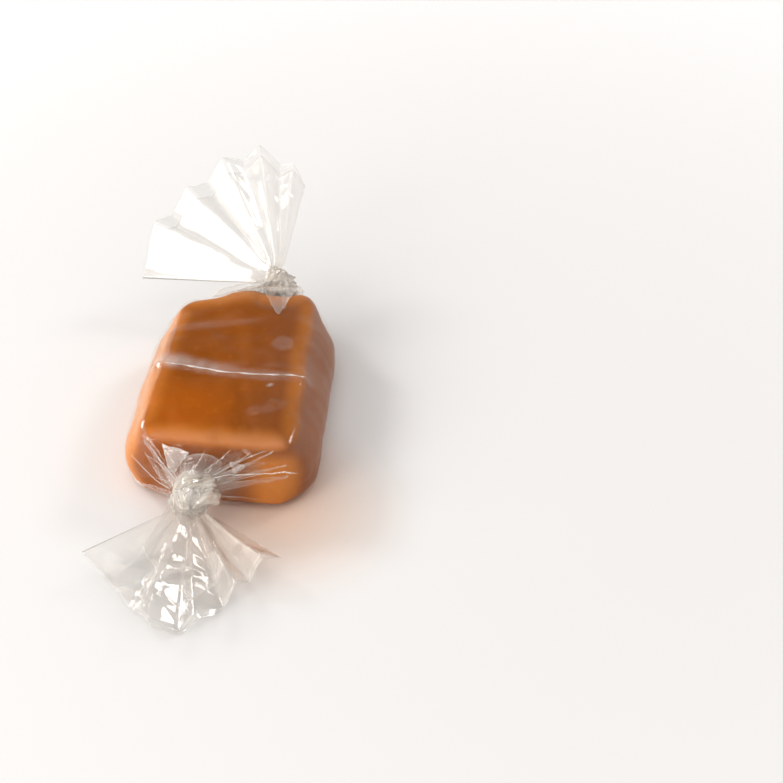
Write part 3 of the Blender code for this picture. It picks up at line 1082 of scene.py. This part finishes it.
def makeTongue(material):
    down = np.linspace(0.0, 1.0, tongue["rows"])[:, None]
    sideways = np.linspace(0.0, 1.0, tongue["columns"])[None, :]
    root, rim = np.array(tongue["root"]), np.array(tongue["rim"])
    parts = []
    for axis in range(3):
        rootLine = root[0, axis] + (root[1, axis] - root[0, axis]) * sideways
        rimLine = np.interp(sideways, tongue["rimAt"], rim[:, axis])
        parts.append(rootLine * (1.0 - down) + rimLine * down)
    x, y, z = parts
    rounded = np.sin(math.pi * sideways) ** 0.8
    count, foldHeight, seed = tongue["folds"]
    folds = foldHeight * crease(sideways * np.ones_like(down), count, seed)
    z = z + rounded * tongue["arch"] * np.sin(math.pi * 0.5 * down) + down * folds * rounded
    z = z + tongue["crumple"] * facets(x, y, *tongue["facets"]) * down * rounded ** 0.5
    points = np.stack([x, y, z], axis=2) * mm
    # painted highlight: whitish milk along the tongue's rim and sides
    edges = np.clip(down ** 60 + np.abs(2.0 * sideways - 1.0) ** 40, 0.0, 1.0)
    filmPiece("filmFrontTongue", [(points, 0.01 + 0.2 * edges, False)], material)


stage = {
    "floorSize": 1.6,
    # painted shade: the floor darker near the candy, white far off
    "nearShadeColour": (0.85, 0.837, 0.83),
    "farColour": (1.0, 1.0, 1.0),
    "floorRoughness": 0.55,
    "floorSpecular": 0.3,
    "nearReach": 0.05,
    "farReach": 0.22,
    # painted warm shadow and light on the floor at the caramel's front right
    "glowColour": (0.80, 0.61, 0.50),
    "glowPlace": (0.018, 0.008, 0.0),
    "glowReach": (0.021, 0.001),
    "worldColour": (1.0, 0.972, 0.945),
    "roomLevel": 0.7,
    "gapLevel": 0.05,  # a dark gap above the white sweep behind, which the film mirrors
    "gapBehind": (0.05, 0.45),
    "gapRise": (0.22, 0.55),
    "gapTop": (0.8, 0.93),
}


def makeFloor():
    half = stage["floorSize"] / 2
    mesh = bpy.data.meshes.new("floor")
    corners = [(-half, -half, 0.0), (half, -half, 0.0), (half, half, 0.0), (-half, half, 0.0)]
    mesh.from_pydata(corners, [], [(0, 1, 2, 3)])
    material, make = newMaterial("paleTable")
    away = make.node("ShaderNodeVectorMath", {"operation": "LENGTH"}, {0: make.objectPlace()}, 1)
    far = make.ramp(away, stage["nearReach"], stage["farReach"])
    # painted shade near the candy, fading to the white far floor
    colour = make.mixColour(far, (*stage["nearShadeColour"], 1.0), (*stage["farColour"], 1.0))
    nearGlow = make.node("ShaderNodeVectorMath", {"operation": "DISTANCE"},
                         {0: make.objectPlace(), 1: stage["glowPlace"]}, 1)
    edge, core = stage["glowReach"]
    glow = make.ramp(-nearGlow, -edge, -core)  # painted warm shadow and light that the caramel casts on the floor
    colour = make.mixColour(glow, colour, (*stage["glowColour"], 1.0))
    shader = make.node("ShaderNodeBsdfPrincipled", None, {
        "Base Color": colour,
        "Roughness": stage["floorRoughness"],
        "Specular IOR Level": stage["floorSpecular"],
    })
    make.node("ShaderNodeOutputMaterial", None, {"Surface": shader})
    mesh.materials.append(material)
    addObject("floor", mesh)


softboxes = {
    "target": (0.0, 0.0, 0.005),
    "boxes": (  # name, place, side, power and colour
        ("ceilingBox", (0.10, -0.15, 0.70), 0.5, 0.5, (1.0, 1.0, 1.0)),
        ("frontBox", (0.42, -0.36, 0.24), 0.3, 1.8, (1.0, 0.985, 0.96)),
        ("leftGlintBox", (-0.25, -0.40, 0.30), 0.12, 0.9, (1.0, 1.0, 1.0)),
        ("rightGlintBox", (-0.30, 0.34, 0.34), 0.12, 0.6, (1.0, 1.0, 1.0)),
        ("leftBox", (0.10, -0.44, 0.24), 0.25, 0.4, (1.0, 0.98, 0.95)),
    ),
}


def addSoftbox(name, place, side, power, colour):
    light = bpy.data.lights.new(name, "AREA")
    light.shape = "SQUARE"
    light.size = side
    light.energy = power
    light.color = colour
    lamp = addObject(name, light)
    lamp.location = place
    aim = Vector(softboxes["target"]) - Vector(place)
    lamp.rotation_euler = aim.to_track_quat("-Z", "Y").to_euler()


def lightScene():
    world = bpy.data.worlds.new("studio")
    world.use_nodes = True
    bpy.context.scene.world = world
    world.node_tree.nodes.clear()
    make = NodeMaker(world.node_tree)
    way = make.node("ShaderNodeTexCoord", output=0)
    upward = make.node("ShaderNodeSeparateXYZ", None, {0: way}, 2)
    along = make.node("ShaderNodeSeparateXYZ", None, {0: way}, 0)
    low, high = stage["gapTop"]
    behind = make.ramp(-along, *stage["gapBehind"])
    gap = behind * make.ramp(upward, *stage["gapRise"]) * make.ramp(-upward, -high, -low)
    level = stage["roomLevel"] * (1.0 - gap) + stage["gapLevel"] * gap
    back = make.node("ShaderNodeBackground", None, {"Color": (*stage["worldColour"], 1.0), "Strength": level})
    make.node("ShaderNodeOutputWorld", None, {"Surface": back})
    for box in softboxes["boxes"]:
        addSoftbox(*box)


view = {
    "place": (0.1962, 0.0369, 0.1607),
    "target": (-0.0089, 0.0215, 0.0),
    "lens": 82.8,
    "sensor": 36.0,
    "clip": (0.005, 10.0),
}


def aimCamera():
    camera = bpy.data.cameras.new("camera")
    camera.sensor_width = view["sensor"]
    camera.lens = view["lens"]
    camera.clip_start, camera.clip_end = view["clip"]
    rig = addObject("camera", camera)
    place, target = Vector(view["place"]), Vector(view["target"])
    rig.location = place
    rig.rotation_euler = (target - place).to_track_quat("-Z", "Y").to_euler()
    bpy.context.scene.camera = rig


bpy.context.scene.view_settings.view_transform = "Standard"
bpy.context.scene.cycles.transparent_max_bounces = 48
bpy.context.scene.cycles.caustics_reflective = False
aimCamera()
makeFloor()
lightScene()
makeCaramel()
clingFilm = filmMaterial("clingFilm", 0.014, 0.2)
looseFilm = filmMaterial("looseFilm", 0.022)
openFilm = filmMaterial("openFilm", 0.045)
# the bunched and twisted film take the warm tint of painted caramel light
bunchedFilm = filmMaterial("bunchedFilm", 0.2, 0.8, milkColour=filmLook["caramelLitCream"], soft=0.35)
foldedFilm = filmMaterial("foldedFilm", 0.05, ownMilk=0.22)
twistedFilm = filmMaterial("twistedFilm", 0.06, 0.5, ownMilk=0.8, milkColour=filmLook["caramelLitCream"], soft=0.35)
creaseFilm = filmMaterial("creaseFilm", 0.08, 0.8, ownMilk=0.6)
sleeveGrid = makeSleeve(clingFilm)
makeTucks(sleeveGrid, looseFilm)
makeFlaps(looseFilm)
makeLap(sleeveGrid, clingFilm)
makeRibs(sleeveGrid, foldedFilm)
makeCreases(sleeveGrid, creaseFilm)
for tail in (frontTail, rearTail):
    tailGrid = makeTail(tail, openFilm)
    makeKnot(tail, tailGrid, bunchedFilm, twistedFilm)
makeTongue(openFilm)
